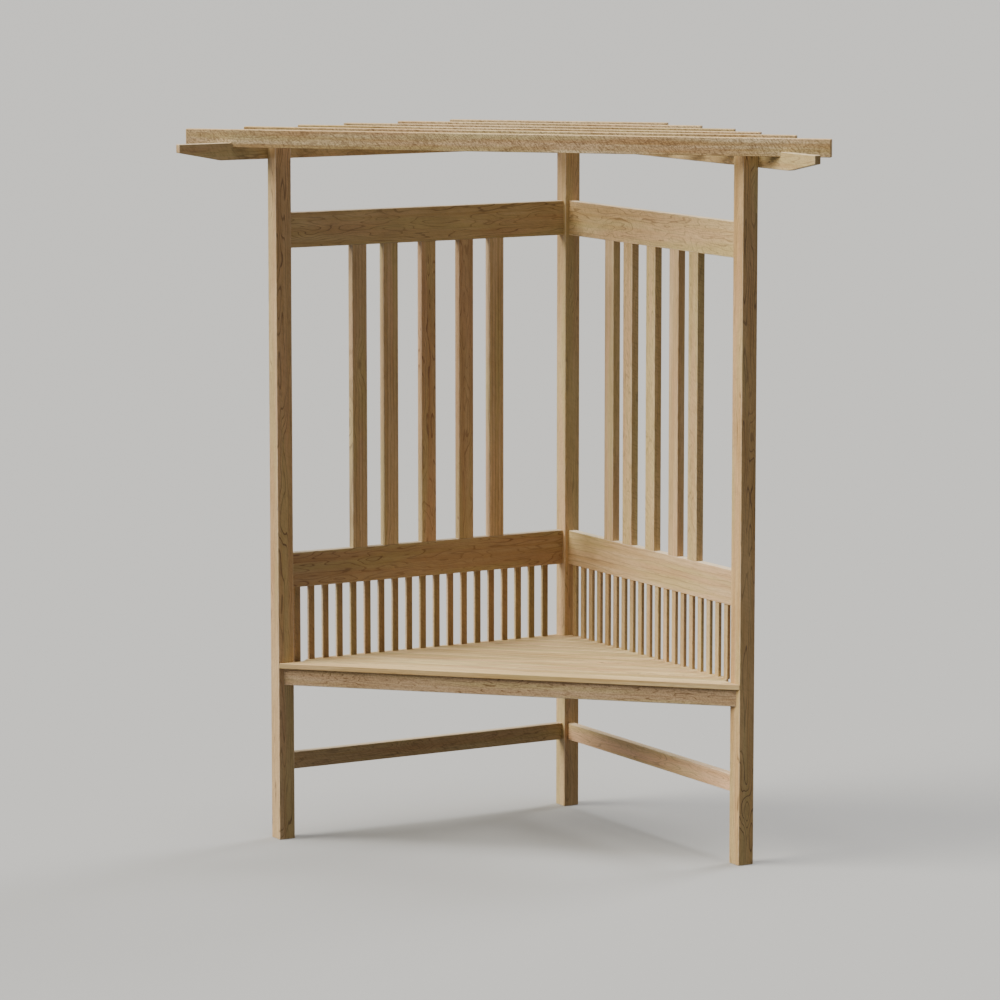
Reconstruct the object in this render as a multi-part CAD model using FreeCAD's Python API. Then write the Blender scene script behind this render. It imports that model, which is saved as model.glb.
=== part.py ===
import FreeCAD, Part
import math
import os
from FreeCAD import Placement, Rotation, Vector

# Corner arbour seat in planed timber, in millimetres, +Z up, front towards -Y.
# Three square posts stand at the corners of a right-angled triangle. Two railed walls join them,
# a triangular boarded seat lies between the walls, and rafters lie across two roof beams.
# The model is drawn round the back post's middle line, and is moved at the end so that the origin
# is on the ground, under the middle of the whole seat.

# Posts and walls
POST = 45.0                 # side of each square post
WALL_SPAN = 828.0           # clear length of a wall, from post face to post face
POST_HEIGHT = 1837.0        # also the top face of the roof beams
ARRIS = 1.2                 # width of the small bevel that is planed along each edge
RAIL_THICKNESS = 22.0
RAIL_WIDTH = 92.0           # height of the top rail and of the mid rail
TOP_RAIL_DROP = 184.0       # from the posts' tops down to the top rail
MID_RAIL_TOP = 760.0
STRETCHER_WIDTH = 45.0
STRETCHER_BOTTOM = 184.0

# Slats above the mid rail, in pairs either side of a middle one
SLAT_WIDTH = 44.0
SLAT_THICKNESS = 22.0
SLAT_NEAR = 114.0           # from the wall's middle to the nearer pair
SLAT_FAR = 207.5            # from the wall's middle to the farther pair

# Spindles between the mid rail and the seat, set out from the left end of each wall
SPINDLE_WIDTH = 18.0
SPINDLE_THICKNESS = 10.0
SPINDLE_PITCH = 42.0
SPINDLE_LEAD = 12.0         # from the first post to the first spindle, and the least at the far end

# Seat
SEAT_HEIGHT = 472.0
BOARD_THICKNESS = 14.0
BOARD_COUNT = 13
BOARD_GAP = 1.5
BEARER_WIDTH = 45.0         # height of the apron and of the bearers under the boards
BEARER_THICKNESS = 22.0
APRON_SETBACK = 11.0        # apron's face behind the seat's front edge

# Roof
BEAM_HEIGHT = 45.0
BEAM_THICKNESS = 18.0
BEAM_PROJECTION = 254.0     # past the front post's outer face
BEAM_BEVEL = 120.0          # length of the sloping cut under the tip
BEAM_TIP = 22.0             # height left at the tip
RAFTER_HEIGHT = 46.0
RAFTER_THICKNESS = 22.0
NOTCH_DEPTH = 12.0          # how far each rafter sits down over the beams
RAFTER_LEAD = 40.0          # first rafter's face ahead of the front posts' corners
RAFTER_STEPS = (0.0, 131.0, 105.0, 112.0, 118.0, 103.0)
RAFTER_OVERHANGS = (101.0, 117.0, 108.0, 128.0, 132.0, 120.0)

# Joints
TENON_THICKNESS = 8.0
TENON_WEB = 2.5             # wood left between two tenons that meet in the back post
TENON_SHOULDER = 10.0       # shoulder above and below a rail's tenon
SLAT_SHOULDER = 7.0
SLAT_TENON = 15.0
SPINDLE_SOCKET = 10.0
STUB_TENON = 8.0            # on the front end of the middle bearer
CHEEK_SLACK = 0.2           # clearance at each side of a tenon, and of a notch
END_SLACK = 1.0             # clearance past the end of a tenon

# Fixings
COACH_SHANK = 8.0
COACH_WASHER = 16.0
COACH_WASHER_THICKNESS = 1.6
COACH_HEAD = 13.0           # across the flats
COACH_HEAD_HEIGHT = 5.3
COACH_BITE = 26.0           # length in the post
COACH_SPACING = 20.0
COACH_OFFSET = 12.0         # to one side in the back post, where the screws of both beams meet
WOOD_SCREW_SHANK = 4.5
WOOD_SCREW_HEAD = 9.0
WOOD_SCREW_HEAD_HEIGHT = 2.5
RAFTER_SCREW_BITE = 28.0    # length in the beam
SEAT_SCREW_BITE = 9.0       # length in the seat board
COUNTERBORE = 10.0
COUNTERBORE_DEPTH = 25.0
APRON_SCREWS = 4
APRON_SCREW_INSET = 90.0    # from the apron's shoulder to its end screws
MIDDLE_SCREW_STEP = 2       # every second board is screwed to the middle bearer

# Values that follow from the ones above
WALL_LENGTH = WALL_SPAN + POST
TOP_RAIL_TOP = POST_HEIGHT - TOP_RAIL_DROP
TENON_LENGTH = POST / 2 - TENON_THICKNESS / 2 - TENON_WEB
SPINDLE_COUNT = 1 + int((WALL_SPAN - 2 * SPINDLE_LEAD - SPINDLE_WIDTH) // SPINDLE_PITCH)
BOARD_UNDERSIDE = SEAT_HEIGHT - BOARD_THICKNESS
BEARER_BOTTOM = BOARD_UNDERSIDE - BEARER_WIDTH
RAFTER_BOTTOM = POST_HEIGHT - NOTCH_DEPTH
RAFTER_TOP = RAFTER_BOTTOM + RAFTER_HEIGHT
DIAGONAL = math.sqrt(2)
POST_REACH = POST / DIAGONAL                         # from a post's middle to its corner
FRONT_LINE = -WALL_LENGTH / DIAGONAL - POST_REACH    # the front posts' front corners
SEAT_BACK = (RAIL_THICKNESS / DIAGONAL - POST_REACH) / 2   # the rails' outer faces meet the back post
BOARD_PITCH = (SEAT_BACK - FRONT_LINE + BOARD_GAP) / BOARD_COUNT
APRON_FRONT = FRONT_LINE + APRON_SETBACK
APRON_BACK = APRON_FRONT + BEARER_THICKNESS
APRON_MIDDLE = (APRON_FRONT + APRON_BACK) / 2
BEAM_OUTER = POST / 2 + BEAM_THICKNESS               # beam's outer face from the wall's centre line
FRONT_END = -(WALL_LENGTH + BEAM_PROJECTION - ARRIS) / DIAGONAL
BACK_END = BEAM_OUTER * DIAGONAL
ORIGIN_Y = (FRONT_END + BACK_END) / 2

# Each wall is laid out along X from the middle of its left post to the middle of its right post,
# seen from the seat, with +Y outwards. The back post ends the left wall and begins the right one.
LEFT_WALL = Placement(Vector(-WALL_LENGTH / DIAGONAL, -WALL_LENGTH / DIAGONAL, 0),
                      Rotation(Vector(0, 0, 1), 45))
RIGHT_WALL = Placement(Vector(0, 0, 0), Rotation(Vector(0, 0, 1), -45))
WALLS = {"left": LEFT_WALL, "right": RIGHT_WALL}
RAIL_START = POST / 2
RAIL_END = WALL_LENGTH - POST / 2

# Bottom and height of each horizontal member of a wall
TOP_RAIL = (TOP_RAIL_TOP - RAIL_WIDTH, RAIL_WIDTH)
MID_RAIL = (MID_RAIL_TOP - RAIL_WIDTH, RAIL_WIDTH)
BEARER = (BEARER_BOTTOM, BEARER_WIDTH)
STRETCHER = (STRETCHER_BOTTOM, STRETCHER_WIDTH)


# Shapes and places


def block(x0, x1, y0, y1, z0, z1):
    return Part.makeBox(x1 - x0, y1 - y0, z1 - z0, Vector(x0, y0, z0))


def ease(shape, keep):
    """Planes the small bevel along the edges that keep(edge) picks."""
    return shape.makeChamfer(ARRIS, [edge for edge in shape.Edges if keep(edge)])


def along(axis):
    """Picks the edges that run along one axis, so that end faces stay square."""
    def picks(edge):
        run = edge.Vertexes[-1].Point - edge.Vertexes[0].Point
        return abs(run.dot(axis)) > 0.999 * run.Length
    return picks


def every(edge):
    return True


ALONG_X = along(Vector(1, 0, 0))
ALONG_Y = along(Vector(0, 1, 0))
ALONG_Z = along(Vector(0, 0, 1))


def prism(points, z0, z1):
    """Stands a plan outline up between two heights."""
    corners = [Vector(x, y, z0) for x, y in points]
    return Part.Face(Part.makePolygon(corners + corners[:1])).extrude(Vector(0, 0, z1 - z0))


def placed(shape, placement):
    moved = shape.copy()
    moved.Placement = placement.multiply(moved.Placement)
    return moved


def widened(limits, slack_x, slack_y, slack_z):
    """A block with clearance round a tenon's limits, which are (x0, x1, y0, y1, z0, z1)."""
    x0, x1, y0, y1, z0, z1 = limits
    return block(x0 - slack_x, x1 + slack_x, y0 - slack_y, y1 + slack_y, z0 - slack_z, z1 + slack_z)


def wall_line(y, offset):
    """Half the seat's width at y, out to a line along the walls at this offset outwards."""
    return offset * DIAGONAL - y


# Wall members, in the wall's own layout


def rail_tenons(bottom, height):
    """The limits of a rail's two tenons, from its shoulders out."""
    half = TENON_THICKNESS / 2
    low, high = bottom + TENON_SHOULDER, bottom + height - TENON_SHOULDER
    return [(RAIL_START - TENON_LENGTH, RAIL_START, -half, half, low, high),
            (RAIL_END, RAIL_END + TENON_LENGTH, -half, half, low, high)]


def rail(bottom, height, thickness):
    half = thickness / 2
    bar = ease(block(RAIL_START, RAIL_END, -half, half, bottom, bottom + height), ALONG_X)
    return bar.fuse([block(*tenon) for tenon in rail_tenons(bottom, height)]).removeSplitter()


def slat_places():
    middle = WALL_LENGTH / 2
    return [middle + offset for offset in (-SLAT_FAR, -SLAT_NEAR, 0.0, SLAT_NEAR, SLAT_FAR)]


def slat_tenons(x):
    half_width = SLAT_WIDTH / 2 - SLAT_SHOULDER
    half = TENON_THICKNESS / 2
    top = TOP_RAIL_TOP - RAIL_WIDTH
    return [(x - half_width, x + half_width, -half, half, MID_RAIL_TOP - SLAT_TENON, MID_RAIL_TOP),
            (x - half_width, x + half_width, -half, half, top, top + SLAT_TENON)]


def slat(x):
    half = SLAT_THICKNESS / 2
    bar = block(x - SLAT_WIDTH / 2, x + SLAT_WIDTH / 2, -half, half,
                MID_RAIL_TOP, TOP_RAIL_TOP - RAIL_WIDTH)
    return ease(bar, ALONG_Z).fuse([block(*tenon) for tenon in slat_tenons(x)]).removeSplitter()


def spindle_starts():
    first = RAIL_START + SPINDLE_LEAD
    return [first + SPINDLE_PITCH * i for i in range(SPINDLE_COUNT)]


def spindle_sides(start, foot):
    """A spindle's six faces. It ends in a socket under the mid rail."""
    half = SPINDLE_THICKNESS / 2
    return (start, start + SPINDLE_WIDTH, -half, half, foot, MID_RAIL_TOP - RAIL_WIDTH + SPINDLE_SOCKET)


def spindle_foot(side, start):
    """On the seat's boards, or on the bearer where the boards stop short of the front post."""
    from_back_post = start if side == "right" else WALL_LENGTH - start - SPINDLE_WIDTH
    board_end = board_outline(1)[2] * DIAGONAL
    beside_boards = from_back_post - SPINDLE_THICKNESS / 2 > board_end
    return BOARD_UNDERSIDE if beside_boards else SEAT_HEIGHT


def spindles(side):
    bars = [block(*spindle_sides(start, spindle_foot(side, start))) for start in spindle_starts()]
    return Part.makeCompound([ease(bar, ALONG_Z) for bar in bars])


def top_rail():
    sockets = [widened(slat_tenons(x)[1], CHEEK_SLACK, CHEEK_SLACK, END_SLACK) for x in slat_places()]
    return rail(*TOP_RAIL, RAIL_THICKNESS).cut(sockets)


def mid_rail():
    sockets = [widened(slat_tenons(x)[0], CHEEK_SLACK, CHEEK_SLACK, END_SLACK) for x in slat_places()]
    sockets += [widened(spindle_sides(start, SEAT_HEIGHT), CHEEK_SLACK, CHEEK_SLACK, END_SLACK)
                for start in spindle_starts()]
    return rail(*MID_RAIL, RAIL_THICKNESS).cut(sockets)


# Screws. Coach screws and rafter screws point along -Z, and seat screws along +Z.
# Shanks are drawn six-sided, and what they are driven into is cut with the same solid.


def six_sided(radius, z0, z1):
    angles = [math.radians(60 * i) for i in range(6)]
    return prism([(radius * math.cos(angle), radius * math.sin(angle)) for angle in angles], z0, z1)


def coach_shank():
    return six_sided(COACH_SHANK / 2, -BEAM_THICKNESS - COACH_BITE, 0)


def coach_screw():
    washer = Part.makeCylinder(COACH_WASHER / 2, COACH_WASHER_THICKNESS)
    head = six_sided(COACH_HEAD / math.sqrt(3), COACH_WASHER_THICKNESS,
                     COACH_WASHER_THICKNESS + COACH_HEAD_HEIGHT)
    return coach_shank().fuse([washer, head]).removeSplitter()


def rafter_screw():
    """Its head is let in flush with the rafter's top edge."""
    length = RAFTER_HEIGHT - NOTCH_DEPTH + RAFTER_SCREW_BITE
    head = six_sided(WOOD_SCREW_HEAD / 2, -WOOD_SCREW_HEAD_HEIGHT, 0)
    return six_sided(WOOD_SCREW_SHANK / 2, -length, 0).fuse(head).removeSplitter()


def seat_screw():
    """Driven up from the end of a counterbore in a bearer or in the apron."""
    length = BEARER_WIDTH - COUNTERBORE_DEPTH + SEAT_SCREW_BITE
    head = six_sided(WOOD_SCREW_HEAD / 2, COUNTERBORE_DEPTH - WOOD_SCREW_HEAD_HEIGHT, COUNTERBORE_DEPTH)
    shank = six_sided(WOOD_SCREW_SHANK / 2, COUNTERBORE_DEPTH, COUNTERBORE_DEPTH + length)
    return shank.fuse(head).removeSplitter()


def seat_screw_hole():
    return seat_screw().fuse(six_sided(COUNTERBORE / 2, 0, COUNTERBORE_DEPTH)).removeSplitter()


def set_at(shape, places):
    return [placed(shape, place) for place in places]


# Roof


def beam(side, screw_holes):
    """A beam on the outer face of its wall's posts, with a bevelled tip and a mitred back end."""
    front = -RAIL_START - BEAM_PROJECTION
    back = WALL_LENGTH + 2 * BEAM_OUTER         # past the mitre, which is cut last
    bottom = POST_HEIGHT - BEAM_HEIGHT
    outline = [(front, POST_HEIGHT), (back, POST_HEIGHT), (back, bottom),
               (front + BEAM_BEVEL, bottom), (front, POST_HEIGHT - BEAM_TIP)]
    if side == "right":
        outline = [(WALL_LENGTH - x, z) for x, z in outline]
    corners = [Vector(x, POST / 2, z) for x, z in outline]
    profile = Part.Face(Part.makePolygon(corners + corners[:1]))
    bar = ease(profile.extrude(Vector(0, BEAM_THICKNESS, 0)), every)
    reach = 2 * BACK_END
    beyond = (0, reach) if side == "left" else (-reach, 0)
    other_side = block(*beyond, -reach, reach, bottom - ARRIS, POST_HEIGHT + ARRIS)
    return placed(bar, WALLS[side]).cut([other_side] + screw_holes)


def rafter_fronts():
    """Y of each rafter's front face."""
    fronts = []
    y = FRONT_LINE - RAFTER_LEAD
    for step in RAFTER_STEPS:
        y += step
        fronts.append(y)
    return fronts


def rafter(y, overhang, screw_holes):
    """A rafter notched on the skew over both beams."""
    half = BEAM_OUTER * DIAGONAL - y + overhang
    bar = ease(block(-half, half, y, y + RAFTER_THICKNESS, RAFTER_BOTTOM, RAFTER_TOP), every)
    reach = WALL_LENGTH + BEAM_PROJECTION + POST
    notch = block(-reach, reach, POST / 2 - CHEEK_SLACK, BEAM_OUTER + CHEEK_SLACK,
                  RAFTER_BOTTOM - ARRIS, POST_HEIGHT)
    return bar.cut([placed(notch, wall) for wall in WALLS.values()] + screw_holes)


def rafter_screw_places(y):
    """Where a rafter's centre line crosses the beams' centre lines."""
    middle = y + RAFTER_THICKNESS / 2
    x = (POST / 2 + BEAM_THICKNESS / 2) * DIAGONAL - middle
    return [Placement(Vector(side * x, middle, RAFTER_TOP), Rotation()) for side in (-1, 1)]


def coach_places(side):
    """Screw heads on the beam's outer face, one above the other at each post."""
    into_post = Rotation(Vector(1, 0, 0), -90)
    spots = (0.0, WALL_LENGTH - COACH_OFFSET) if side == "left" else (COACH_OFFSET, WALL_LENGTH)
    middle = POST_HEIGHT - BEAM_HEIGHT / 2
    heights = (middle - COACH_SPACING / 2, middle + COACH_SPACING / 2)
    return [WALLS[side].multiply(Placement(Vector(x, BEAM_OUTER, z), into_post))
            for x in spots for z in heights]


# Seat

def mitred_bar(front, back, front_half, back_half, z0, z1):
    """A bar across the seat between two Y lines, with half its length given at each of them."""
    outline = [(-front_half, front), (front_half, front), (back_half, back), (-back_half, back)]
    return prism(outline, z0, z1)


def board_outline(number):
    """A board's front and back lines, and half its length at each of them."""
    front = FRONT_LINE + BOARD_PITCH * number
    back = front + BOARD_PITCH - BOARD_GAP
    if number == 0:             # between the front posts' inner faces
        return front, back, wall_line(front, -POST / 2), wall_line(back, -POST / 2)
    back_half = wall_line(back, RAIL_THICKNESS / 2)
    if number == 1:             # cut square behind the posts
        return front, back, back_half, back_half
    return front, back, wall_line(front, RAIL_THICKNESS / 2), back_half


def seat_board(number, cuts):
    board = mitred_bar(*board_outline(number), BOARD_UNDERSIDE, SEAT_HEIGHT)
    return ease(board, every).cut(cuts)


def apron_tenons():
    """Skewed tenons that carry the apron into the inner faces of the front posts."""
    shoulder = wall_line(APRON_MIDDLE, -POST / 2)
    inner = shoulder - BEARER_THICKNESS
    half = TENON_THICKNESS / 2
    low, high = BEARER_BOTTOM + TENON_SHOULDER, BOARD_UNDERSIDE - TENON_SHOULDER
    return [(-shoulder - TENON_LENGTH, -inner, APRON_MIDDLE - half, APRON_MIDDLE + half, low, high),
            (inner, shoulder + TENON_LENGTH, APRON_MIDDLE - half, APRON_MIDDLE + half, low, high)]


def apron(cuts):
    bar = mitred_bar(APRON_FRONT, APRON_BACK, wall_line(APRON_FRONT, -POST / 2),
                     wall_line(APRON_BACK, -POST / 2), BEARER_BOTTOM, BOARD_UNDERSIDE)
    tenons = [block(*tenon) for tenon in apron_tenons()]
    return ease(bar, ALONG_X).fuse(tenons).removeSplitter().cut(cuts)


def stub_tenon():
    half = TENON_THICKNESS / 2
    return (-half, half, APRON_BACK - STUB_TENON, APRON_BACK,
            BEARER_BOTTOM + TENON_SHOULDER, BOARD_UNDERSIDE - TENON_SHOULDER)


def middle_bearer(cuts):
    """Runs from the apron back to the corner, where it is scribed to the post and both bearers."""
    half = BEARER_THICKNESS / 2
    bar = ease(block(-half, half, APRON_BACK, -POST / 2, BEARER_BOTTOM, BOARD_UNDERSIDE), ALONG_Y)
    return bar.fuse(block(*stub_tenon())).removeSplitter().cut(cuts)


def seat_screw_places():
    """Places of the screws under each board, by the piece that they pass through."""
    def upright(x, y):
        return Placement(Vector(x, y, BEARER_BOTTOM), Rotation())
    places = {"apron": {}, "side_bearers": {}, "middle_bearer": {}}
    reach = wall_line(APRON_MIDDLE, -POST / 2) - APRON_SCREW_INSET
    spacing = 2 * reach / (APRON_SCREWS - 1)
    places["apron"][0] = [upright(i * spacing - reach, APRON_MIDDLE) for i in range(APRON_SCREWS)]
    for number in range(1, BOARD_COUNT):
        front, back, front_half, back_half = board_outline(number)
        y = (max(front, -front_half) + back) / 2      # middle of the board over a side bearer
        places["side_bearers"][number] = [upright(-y, y), upright(y, y)]
    for number in range(1, BOARD_COUNT, MIDDLE_SCREW_STEP):
        front, back = board_outline(number)[:2]
        places["middle_bearer"][number] = [upright(0.0, (front + back) / 2)]
    return places


# Assembly


def posts(coach_holes):
    """The three posts, each cut for every tenon and screw that reaches it."""
    tenons = [tenon for size in (TOP_RAIL, MID_RAIL, BEARER, STRETCHER) for tenon in rail_tenons(*size)]
    cuts = [placed(widened(tenon, END_SLACK, CHEEK_SLACK, CHEEK_SLACK), wall)
            for tenon in tenons for wall in WALLS.values()]
    cuts += [widened(tenon, END_SLACK, CHEEK_SLACK, CHEEK_SLACK) for tenon in apron_tenons()]
    cuts += coach_holes
    half = POST / 2
    post = ease(block(-half, half, -half, half, 0, POST_HEIGHT), every)
    far_end = Placement(Vector(WALL_LENGTH, 0, 0), Rotation())
    corners = {"left": LEFT_WALL, "back": RIGHT_WALL, "right": RIGHT_WALL.multiply(far_end)}
    return {f"{corner}_post": placed(post, place).cut(cuts) for corner, place in corners.items()}


def wall_members():
    """Both walls hold the same pieces: the right wall is the left one turned about the back post."""
    shapes = {"top_rail": top_rail(), "mid_rail": mid_rail(), "stretcher": rail(*STRETCHER, RAIL_THICKNESS)}
    for number, x in enumerate(slat_places(), 1):
        shapes[f"slat_{number}"] = slat(x)
    members = {f"{side}_{name}": placed(shape, wall)
               for side, wall in WALLS.items() for name, shape in shapes.items()}
    for side, wall in WALLS.items():
        members[f"{side}_spindles"] = placed(spindles(side), wall)
    return members


def seat(back_post):
    """Bearers, apron, boards and the screws that hold the boards down."""
    screws = []
    carrier_holes = {}
    board_holes = {number: [] for number in range(BOARD_COUNT)}
    for carrier, spots_by_board in seat_screw_places().items():
        carrier_holes[carrier] = []
        for number, spots in spots_by_board.items():
            screws += set_at(seat_screw(), spots)
            holes = set_at(seat_screw_hole(), spots)
            carrier_holes[carrier] += holes
            board_holes[number] += holes
    bearer = rail(*BEARER, BEARER_THICKNESS)
    parts = {f"{side}_seat_bearer": placed(bearer, wall).cut(carrier_holes["side_bearers"])
             for side, wall in WALLS.items()}
    stub_mortise = widened(stub_tenon(), CHEEK_SLACK, END_SLACK, CHEEK_SLACK)
    scribed_to = [back_post] + list(parts.values())
    parts["apron"] = apron([stub_mortise] + carrier_holes["apron"])
    parts["middle_bearer"] = middle_bearer(scribed_to + carrier_holes["middle_bearer"])
    for number in range(BOARD_COUNT):
        parts[f"seat_board_{number + 1:02d}"] = seat_board(number, [back_post] + board_holes[number])
    parts["seat_screws"] = Part.makeCompound(screws)
    return parts


def roof(coach_holes):
    """Beams and rafters, and the screws between them."""
    parts = {}
    screws = []
    for number, (y, overhang) in enumerate(zip(rafter_fronts(), RAFTER_OVERHANGS), 1):
        pair = set_at(rafter_screw(), rafter_screw_places(y))
        parts[f"rafter_{number}"] = rafter(y, overhang, pair)
        screws += pair
    for side in WALLS:
        parts[f"{side}_beam"] = beam(side, coach_holes + screws)
    parts["rafter_screws"] = Part.makeCompound(screws)
    return parts


def build():
    coach_spots = coach_places("left") + coach_places("right")
    coach_holes = set_at(coach_shank(), coach_spots)
    parts = posts(coach_holes)
    parts["beam_screws"] = Part.makeCompound(set_at(coach_screw(), coach_spots))
    parts.update(wall_members())
    parts.update(seat(parts["back_post"]))
    parts.update(roof(coach_holes))
    return parts


os.makedirs("parts", exist_ok=True)
to_origin = Placement(Vector(0, -ORIGIN_Y, 0), Rotation())
for name, shape in build().items():
    placed(shape, to_origin).exportStep(f"parts/{name}.step")
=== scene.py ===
import math
import random

import bmesh
import bpy
import numpy as np
from mathutils import Matrix, Vector


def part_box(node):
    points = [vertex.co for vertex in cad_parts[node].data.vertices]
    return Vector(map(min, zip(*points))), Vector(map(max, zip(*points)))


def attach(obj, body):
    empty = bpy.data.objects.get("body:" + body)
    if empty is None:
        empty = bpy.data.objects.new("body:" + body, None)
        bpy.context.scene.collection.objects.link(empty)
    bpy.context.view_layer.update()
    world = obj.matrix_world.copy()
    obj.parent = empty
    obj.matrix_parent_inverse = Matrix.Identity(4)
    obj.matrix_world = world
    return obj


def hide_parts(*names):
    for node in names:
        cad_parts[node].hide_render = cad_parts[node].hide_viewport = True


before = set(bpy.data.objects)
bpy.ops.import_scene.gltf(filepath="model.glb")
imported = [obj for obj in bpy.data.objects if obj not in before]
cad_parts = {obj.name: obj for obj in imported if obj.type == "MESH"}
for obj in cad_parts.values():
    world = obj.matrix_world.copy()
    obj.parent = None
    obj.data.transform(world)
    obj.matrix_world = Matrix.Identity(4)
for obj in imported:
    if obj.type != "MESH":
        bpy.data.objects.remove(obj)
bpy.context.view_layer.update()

# Corner arbour seat in planed timber. Lengths are in metres, +Z up, front towards -Y.


# Directions, worked out from the three posts

def middle(node):
    low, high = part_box(node)
    return (low + high) / 2


def direction(start, end):
    """The level direction from one place to another."""
    step = end - start
    return Vector((step.x, step.y, 0.0)).normalized()


UP = Vector((0.0, 0.0, 1.0))
ACROSS = Vector((1.0, 0.0, 0.0))
INWARDS = Vector((0.0, 1.0, 0.0))
ALONG_WALL = {"left": direction(middle("left_post"), middle("back_post")),
              "right": direction(middle("back_post"), middle("right_post"))}


# Helpers for objects, materials and nodes

def put_in_scene(name, data):
    """A new object with this data, in the scene."""
    piece = bpy.data.objects.new(name, data)
    bpy.context.scene.collection.objects.link(piece)
    return piece


def empty_material(name):
    """A new material without any nodes, and its tree."""
    material = bpy.data.materials.new(name)
    material.use_nodes = True
    material.node_tree.nodes.clear()
    return material, material.node_tree


def colour(code):
    """A colour picked as sRGB hex, turned linear for the shaders."""
    parts = [int(code[i:i + 2], 16) / 255 for i in (1, 3, 5)]
    parts = [c / 12.92 if c <= 0.04045 else ((c + 0.055) / 1.055) ** 2.4 for c in parts]
    return (*parts, 1.0)


def add(tree, kind, links=None, **settings):
    """Adds a node. Settings are its own properties. Links feed its inputs, by name or number, from a
    value, a socket, a node's first output, or a list of these where an input takes more than one."""
    node = tree.nodes.new(kind)
    for name, value in settings.items():
        setattr(node, name, value)
    for key, values in (links or {}).items():
        for value in values if isinstance(values, list) else [values]:
            if isinstance(value, bpy.types.Node):
                value = value.outputs[0]
            if isinstance(value, bpy.types.NodeSocket):
                tree.links.new(value, node.inputs[key])
            else:
                node.inputs[key].default_value = value
    return node


def name_sockets(tree, inputs, outputs):
    """Names a group's inputs and outputs, and returns the inputs inside it."""
    for in_out, sockets in (("INPUT", inputs), ("OUTPUT", outputs)):
        for name, kind in sockets:
            tree.interface.new_socket(name, in_out=in_out, socket_type="NodeSocket" + kind)
    return add(tree, "NodeGroupInput").outputs


# Planed timber: growth rings, knots, streaks, fibres, pores, end grain, an arris that is partly worn and
# partly a painted highlight, and painted top light

# How many of each mark there are to a metre along, across and through the board, and how finely it is
# broken up. Real oak's pores, fibres, flecks and mottle are several times finer. They are drawn as
# coarse as it takes to show them at this distance.
MARKS = {"streak": ((1.6, 75.0, 75.0), 3.0),        # 13 mm wide and 600 mm long
         "patch": ((4.0, 20.0, 20.0), 1.0),         # 50 mm wide and 250 mm long
         "blush": ((2.6, 24.0, 30.0), 1.0),         # 40 mm wide and 400 mm long
         "sap": ((1.9, 31.0, 24.0), 1.0),           # 35 mm wide and 500 mm long
         "mottle": ((220.0, 290.0, 290.0), 1.0),    # 3.5 mm wide and 4.5 mm long
         "fibre": ((26.0, 520.0, 520.0), 2.0),      # 2 mm wide and 40 mm long
         "pore": ((46.0, 800.0, 800.0), 1.0),       # 1.3 mm wide and 20 mm long
         "nick": ((30.0, 120.0, 120.0), 2.0)}       # 8 mm wide and 33 mm long
FLECKS = (60.0, 420.0, 60.0)    # 2.4 mm wide and 17 mm long, once they are turned
FLECK_AXIS = (0.0, 1.0, 1.0)    # square to the grain
FLECK_TURN = 1.3                # radians
KNOTS = (3.2, 8.0, 8.0)         # about 310 mm apart along the board and 125 mm across it
KNOT_REACH = 0.26               # how near a knot the rings bend, against the space between knots
KNOT_PULL = 0.016               # how far they bend there
WOBBLE = 0.002                  # how far a ring strays in its small bends
WOBBLE_PACE = 4.4               # how many of these there are to one bend of the figure
NICK_DEPTH = 0.004              # how far the worn arris comes and goes
CUT_STEP = (7.13, 3.71, 5.19)   # from one board's place in the tree to the next one's

# Masks: none of a mark shows where its value is at the first number, and all of it at the second
# The top mask marks the faces that look up, which get the painted top light
FADES = {"late": ("ring", 0.30, 0.94), "line": ("ring", 0.76, 0.88), "ring end": ("ring", 1.0, 0.95),
         "early": ("ring", 0.8, 0.1), "streak": ("streak", 0.36, 0.64), "patch": ("patch", 0.32, 0.68),
         "fibre": ("fibre", 0.35, 0.75), "pore": ("pore", 0.56, 0.68), "blush": ("blush", 0.46, 0.66),
         "sap": ("sap", 0.46, 0.66), "mottle": ("mottle", 0.46, 0.6), "fleck": ("fleck", 0.52, 0.64),
         "knot": ("knot", 0.07, 0.03), "top": ("upwards", 0.7, 0.95), "end grain": ("end on", 0.35, 0.7),
         "arris": ("arris", 0.0046, 0.0021)}
LATE_SHARE = 0.2        # of the late wood's brown, spread over most of the ring
LINE_SHARE = 0.8        # of it, in the thin dark line at the ring's end
PALE_RINGS = 0.5        # how strong the rings are in the pale patches, against 1 in the dark ones
PATCH_SHARE = 0.4       # of the patches in the ground colour, and the rest is of the streaks

# What lies over the ground colour, in this order: each mark, its share and its colour. The arris is partly
# wear and partly a painted highlight, and the last coat is painted light that pales the faces that look up.
COATS = (("blush", 0.36, "#d8ab84"), ("sap", 0.5, "#c6b67a"), ("ring", 1.0, "Brown"), ("fleck", 0.8, "Brown"),
         ("mottle", 1.0, "Brown"), ("fibre", 0.22, "Brown"), ("pore", 0.34, "Brown"), ("knot", 0.4, "Brown"),
         ("end grain", 0.3, "Brown"), ("arris", 1.0, "Fresh"), ("painted_top_light", 1.0, "Fresh"))

# Late wood and a worn arris are smoother than the rest, and end grain is rougher. Fibres and late wood
# stand up a little, and pores are sunk.
ROUGHNESS = 0.52
ROUGHER = (("late", -0.08), ("end grain", 0.18), ("arris", -0.1))
HIGHER = (("fibre", 0.35), ("late", 0.45), ("pore", -0.8))
GRAIN_DEPTH = 0.0006


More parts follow.
